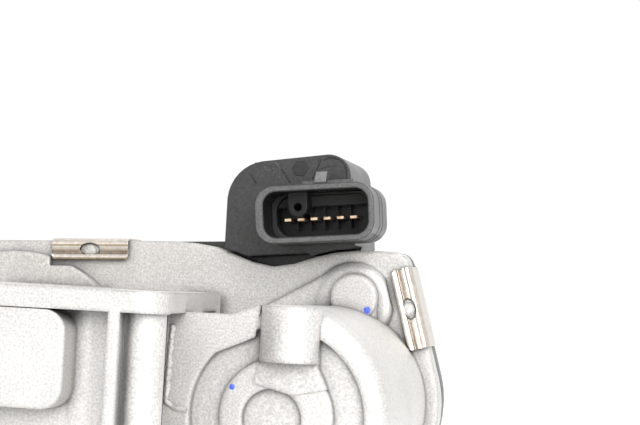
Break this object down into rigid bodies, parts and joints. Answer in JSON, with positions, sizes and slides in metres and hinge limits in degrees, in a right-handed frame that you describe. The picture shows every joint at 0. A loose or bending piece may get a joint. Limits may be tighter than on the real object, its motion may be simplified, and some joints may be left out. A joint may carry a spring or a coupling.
{
  "type": "electronic throttle body",
  "caption": "Electronic throttle body with die-cast housing, geared motor drive, butterfly valve and clipped plastic cover with connector.",
  "frame": {"origin": "centre of the bore and of the bolt pattern, in the mounting face", "axes": "+Z along the bore toward the manifold, +X toward the motor, +Y along the valve shaft toward the gear case"},
  "size_m": [0.137, 0.1235, 0.098],
  "materials": {
    "alloy": "die-cast, fine shot-blasted grain",
    "black_plastic": "glass-filled black nylon",
    "rubber": "moulded elastomer",
    "nickel": "nickel-plated spring steel",
    "gold": "gold-flashed contact bronze",
    "board": "green circuit board",
    "steel": "ground steel",
    "brass": "rolled brass",
    "pale_plastic": "natural acetal",
    "magnet": "sintered ferrite",
    "armature": "varnished steel laminations",
    "copper": "copper and sintered bronze"
  },
  "bodies": {
    "body": {"housing": "alloy", "cover": "black_plastic", "cover_gasket": "rubber", "cover_clips": "nickel", "connector_pins": "gold", "sensor_board": "board", "needle_bearing": "steel", "ball_bearing": "steel", "shaft_seal": "rubber", "shaft_end_plug": "steel", "return_spring": "steel", "spring_sleeve": "pale_plastic", "intermediate_pin": "steel", "motor_can": "steel", "motor_end_cap": "black_plastic", "motor_magnets": "magnet", "motor_spring_washer": "steel", "motor_plate": "nickel", "motor_screws": "steel", "motor_bushes": "copper", "motor_terminals": "gold"},
    "valve": {"throttle_shaft": "steel", "throttle_plate": "brass", "plate_screws": "steel", "sector_gear": "pale_plastic", "sensor_magnet": "magnet"},
    "intermediate": {"intermediate_gear": "pale_plastic"},
    "rotor": {"motor_shaft": "steel", "motor_armature": "armature", "motor_commutator": "copper", "motor_pinion": "brass"}
  },
  "joints": [
    {"name": "throttle_turn", "type": "hinge", "parent": "body", "child": "valve", "pos_m": [0, 0, -0.02], "axis": [0, 1, 0], "range_deg": [-6.5, 78], "stiffness_Nm_per_rad": 0.03},
    {"name": "intermediate_turn", "type": "hinge", "parent": "body", "child": "intermediate", "pos_m": [0.03297, 0, -0.01866], "axis": [0, 1, 0], "range_deg": [-292, 26]},
    {"name": "motor_turn", "type": "hinge", "parent": "body", "child": "rotor", "pos_m": [0.063, 0, -0.0234], "axis": [0, 1, 0], "range_deg": [-110, 1290]}
  ],
  "couplings": [
    {"joint": "intermediate_turn", "follows": "throttle_turn", "ratio": -3.7143},
    {"joint": "motor_turn", "follows": "throttle_turn", "ratio": 16.449}
  ]
}
